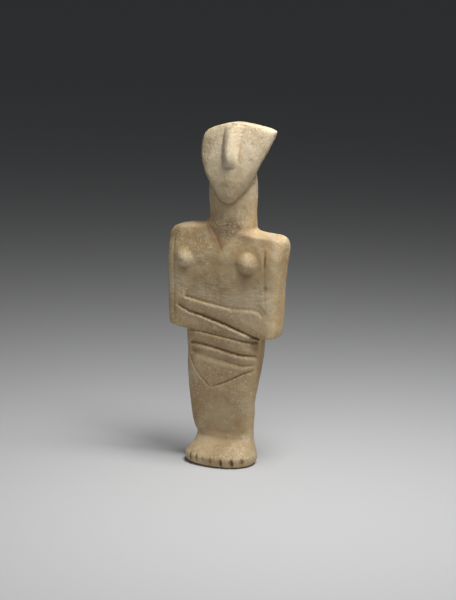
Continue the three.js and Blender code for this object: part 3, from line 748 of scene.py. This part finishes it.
def figure_piece():
    """The whole figure as one closed skin, with what its marble needs painted on its points."""
    points, soil_and_shade, toes, edge, lips = carved_skin()
    normals = outward(points)
    x, z = points[..., 0], points[..., 2]
    forward = -normals[..., 1]
    rough = rough_patches(x, z, forward)
    hollow = ((rounded(points.copy(), 1.0, HOLLOW_PASSES) - points) * normals).sum(-1)
    hollow *= 1 - band(z, *SHOULDERS_FREE_OF_SHADE)
    pitted = pits(points)
    bumps = sum(height * waves(points, size, seed) for height, size, seed in UNEVENNESS)
    bumps += rough * ROUGH_HEIGHT * waves(points, ROUGH_SIZE, ROUGH_SEED)
    keep = band(z, 0, END_KEPT, HEIGHT - END_KEPT, HEIGHT)
    # Painted shade: the hollows are darkened by how deep they lie, past a floor and up to a limit.
    hollow_shade = np.clip(hollow - HOLLOW_FLOOR, 0, HOLLOW_LIMIT)
    low, high, fade = *SCRATCHES, SCRATCH_FADE
    scratched = band(z, low - fade, low + fade, high - fade, high + fade)
    painted = {
        # Soil in the cuts and pits, and painted shade in the hollows, the cuts and sheltered spots.
        "dirt_and_shade": soil_and_shade + TOE_DIRT * toes + PIT_DIRT * pitted + HOLLOW_SHADE * hollow_shade,
        "worn": RIDGE_WEAR * np.clip(-hollow, 0, RIDGE_LIMIT),
        "lips": lips,
        "rough": rough,
        "scratched": scratched * ease(*FRONT_SCRATCHED, forward),
        "edge": edge,
    }

    points = points + normals * ((bumps - pitted) * keep)[..., None]
    points[..., 0] = np.clip(points[..., 0], block_low.x / MM, block_high.x / MM)
    points[..., 2] = np.clip(points[..., 2], 0, HEIGHT)
    mesh = closed_mesh("figure_skin", points)
    for name, values in painted.items():
        layer = mesh.attributes.new(name, "FLOAT", "POINT")
        layer.data.foreach_set("value", np.clip(values, 0, 1).astype(np.float32).ravel())
    piece = bpy.data.objects.new("figure_skin", mesh)
    bpy.context.scene.collection.objects.link(piece)
    return piece


def linear(hex_colour):
    """An sRGB hex colour as linear red, green, blue and alpha."""
    parts = [int(hex_colour[i:i + 2], 16) / 255 for i in (1, 3, 5)]
    return [c / 12.92 if c <= 0.04045 else ((c + 0.055) / 1.055) ** 2.4 for c in parts] + [1]


def add_node(tree, kind, settings=None, inputs=None):
    """Adds a node, sets its own settings, and sets or links its inputs."""
    made = tree.nodes.new(kind)
    for name, value in (settings or {}).items():
        setattr(made, name, value)
    for name, value in (inputs or {}).items():
        if isinstance(value, bpy.types.NodeSocket):
            tree.links.new(value, made.inputs[name])
        else:
            made.inputs[name].default_value = value
    return made


def smooth_range(tree, value, low, high):
    """A value turned into a mask: 0 at low, 1 at high."""
    ramp = add_node(tree, "ShaderNodeMapRange", {"interpolation_type": "SMOOTHSTEP"},
                    {"Value": value, "From Min": low, "From Max": high})
    return ramp.outputs["Result"]


def mottled(tree, place, size_mm, detail, low, high):
    """A noise with features of about size_mm, turned into a mask from 0 to 1."""
    noise = add_node(tree, "ShaderNodeTexNoise", {"noise_dimensions": "3D"},
                     {"Vector": place, "Scale": 1 / (size_mm * MM), "Detail": detail,
                      "Roughness": 0.6})
    return smooth_range(tree, noise.outputs["Fac"], low, high)


def painted_on(tree, name):
    """A value painted on the mesh's points."""
    return add_node(tree, "ShaderNodeAttribute", {"attribute_name": name}).outputs["Fac"]


def tinted(tree, share, under, over):
    """under turned towards over by the share."""
    mix = add_node(tree, "ShaderNodeMix", {"data_type": "RGBA"}, {0: share})
    for socket, colour in ((6, under), (7, over)):
        if isinstance(colour, str):
            mix.inputs[socket].default_value = linear(colour)
        else:
            tree.links.new(colour, mix.inputs[socket])
    return mix.outputs[2]


def times(tree, a, b):
    """The product of two values."""
    made = add_node(tree, "ShaderNodeMath", {"operation": "MULTIPLY"}, {0: a, 1: b})
    return made.outputs[0]


def marble_colour(tree, place):
    """Tan on the body and paler on the head, under stains, crumbs, scratches, soil and painted
    shade.
    """

    def cloud(size_mm, detail, low, high):
        """Soft patches of about size_mm: bare below low, whole above high."""
        return mottled(tree, place, size_mm, detail, low, high)

    rust = times(tree, cloud(1.3, 2, 0.52, 0.62), cloud(13, 3, 0.4, 0.62))
    tan = tinted(tree, cloud(24, 4, 0.38, 0.66), "#bfab86", "#a98f66")
    tan = tinted(tree, times(tree, rust, 0.36), tan, "#a8743c")
    pale = tinted(tree, cloud(20, 4, 0.38, 0.66), "#cfc0a4", "#b7a27e")
    pale = tinted(tree, times(tree, rust, 0.24), pale, "#a8743c")
    height = add_node(tree, "ShaderNodeSeparateXYZ", {}, {0: place}).outputs[2]
    colour = tinted(tree, smooth_range(tree, height, 160 * MM, 200 * MM), tan, pale)

    ochre = times(tree, painted_on(tree, "edge"), cloud(6, 4, 0.3, 0.62))
    crumbs = times(tree, painted_on(tree, "lips"), cloud(1.6, 3, 0.44, 0.6))
    flecks = times(tree, cloud(1.0, 2, 0.54, 0.64), cloud(17, 3, 0.38, 0.6))
    # Noise drawn out level, for the scratches.
    level = add_node(tree, "ShaderNodeVectorMath", {"operation": "MULTIPLY"},
                     {0: place, 1: (0.12, 0.3, 1)}).outputs[0]
    scratches = times(tree, painted_on(tree, "scratched"), mottled(tree, level, 0.9, 2, 0.46, 0.62))
    rough = painted_on(tree, "rough")
    # Each coat: where it lies, how strong it is and its colour, from the marble outwards.
    coats = [
        (cloud(5, 5, 0.5, 0.72), 0.3, "#ddd2ba"),
        (cloud(9, 6, 0.56, 0.74), 0.4, "#a5803f"),
        (ochre, 0.5, "#b58a4b"),
        (painted_on(tree, "worn"), 0.25, "#c6b692"),
        (crumbs, 0.6, "#e2d8c0"),
        (cloud(14, 3, 0.45, 0.62), 0.12, "#b9a58e"),
        (flecks, 0.5, "#e2d7c0"),
        (scratches, 0.35, "#d9cfb8"),
        (rough, 0.75, "#6c5636"),
        (times(tree, rough, cloud(1.3, 4, 0.5, 0.62)), 0.36, "#e2d6bb"),
        # Soil, and painted shade in the hollows, the cuts and the sheltered spots.
        (painted_on(tree, "dirt_and_shade"), 0.8, "#68421f"),
    ]
    for where, strength, over in coats:
        colour = tinted(tree, times(tree, where, strength), colour, over)
    return colour


def aged_marble():
    """Island marble, ground smooth with emery and long buried: a warm cream body that light enters
    a little way, a tan patina in patches, rusty specks, soil in every cut and pit, and painted shade
    in hollows, cuts and sheltered spots."""
    material = bpy.data.materials.new("aged_marble")
    material.use_nodes = True
    tree = material.node_tree
    tree.nodes.clear()
    place = add_node(tree, "ShaderNodeTexCoord").outputs["Object"]
    gloss = add_node(tree, "ShaderNodeMapRange", {}, {
        "Value": mottled(tree, place, 1.2, 3, 0.3, 0.6), "To Min": 0.48, "To Max": 0.66})
    bump = add_node(tree, "ShaderNodeBump", {}, {
        "Height": mottled(tree, place, 1.1, 4, 0.3, 0.7), "Strength": 0.3, "Distance": 0.12 * MM})
    shader = add_node(tree, "ShaderNodeBsdfPrincipled", {}, {
        "Base Color": marble_colour(tree, place), "Roughness": gloss.outputs["Result"],
        "IOR": 1.5, "Specular IOR Level": 0.4, "Normal": bump.outputs["Normal"],
        "Subsurface Weight": 0.12, "Subsurface Scale": 2.0 * MM,
        "Subsurface Radius": (1.0, 0.62, 0.36)})
    add_node(tree, "ShaderNodeOutputMaterial", {}, {"Surface": shader.outputs["BSDF"]})
    return material


def studio_floor():
    """Matt pale paper that the figure stands on, large enough to fill the view, and a hair below
    the sole."""
    half, gap = 6.0, 0.0002
    corners = [(-half, -half, 0), (half, -half, 0), (half, half * 2, 0), (-half, half * 2, 0)]
    mesh = bpy.data.meshes.new("studio_floor")
    mesh.from_pydata(corners, [], [(0, 1, 2, 3)])
    floor = bpy.data.objects.new("studio_floor", mesh)
    bpy.context.scene.collection.objects.link(floor)
    material = bpy.data.materials.new("studio_paper")
    material.use_nodes = True
    shader = material.node_tree.nodes["Principled BSDF"]
    shader.inputs["Base Color"].default_value = linear("#b8b8b8")
    shader.inputs["Roughness"].default_value = 0.9
    mesh.materials.append(material)
    floor.location.z = block_low.z - gap


def soft_light(name, way, distance, size, power, spread, target):
    """A square soft box, some way from the figure's chest, that looks at the target and whose
    grid lets its light spread by so many degrees."""
    lamp = bpy.data.lights.new(name, "AREA")
    lamp.shape = "SQUARE"
    lamp.size = size
    lamp.energy = power
    lamp.spread = math.radians(spread)
    box = bpy.data.objects.new(name, lamp)
    bpy.context.scene.collection.objects.link(box)
    chest = Vector((0, 0, 110 * MM))
    box.location = chest + Vector(way).normalized() * distance
    box.rotation_euler = (box.location - Vector(target)).to_track_quat("Z", "Y").to_euler()


def studio_world():
    """A faint, slightly cool light from all sides, shown without a film look."""
    world = bpy.data.worlds.new("studio")
    bpy.context.scene.world = world
    world.use_nodes = True
    background = world.node_tree.nodes["Background"]
    background.inputs["Color"].default_value = linear("#dfe3e8")
    background.inputs["Strength"].default_value = 0.065
    bpy.context.scene.view_settings.view_transform = "Standard"


def studio_camera():
    """A long lens from the figure's left, a little above it."""
    azimuth, elevation = math.radians(30), math.radians(12)
    distance = 1.4
    pixels_per_metre = 1575
    long_side = 600
    sensor = 36
    aim = Vector((2.05e-3, 0, 0.105))
    way = Vector((math.sin(azimuth) * math.cos(elevation),
                  -math.cos(azimuth) * math.cos(elevation), math.sin(elevation)))
    data = bpy.data.cameras.new("studio_camera")
    data.sensor_width = sensor
    data.lens = pixels_per_metre * distance / long_side * sensor
    data.clip_start, data.clip_end = 0.05, 60
    camera = bpy.data.objects.new("studio_camera", data)
    camera.location = aim + way * distance
    camera.rotation_euler = way.to_track_quat("Z", "Y").to_euler()
    bpy.context.scene.collection.objects.link(camera)
    bpy.context.scene.camera = camera


figure = figure_piece()
figure.data.materials.append(aged_marble())
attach(figure, "root")
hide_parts("marble_figure")

studio_floor()
soft_light("key_light", way=(0.34, -0.1, 0.93), distance=0.56, size=0.26, power=3.2, spread=140,
           target=(0, -0.1, 0))
soft_light("fill_light", way=(0.42, -0.86, 0.32), distance=1.3, size=0.8, power=3.0, spread=180,
           target=(0, 0, 0.11))
studio_world()
studio_camera()
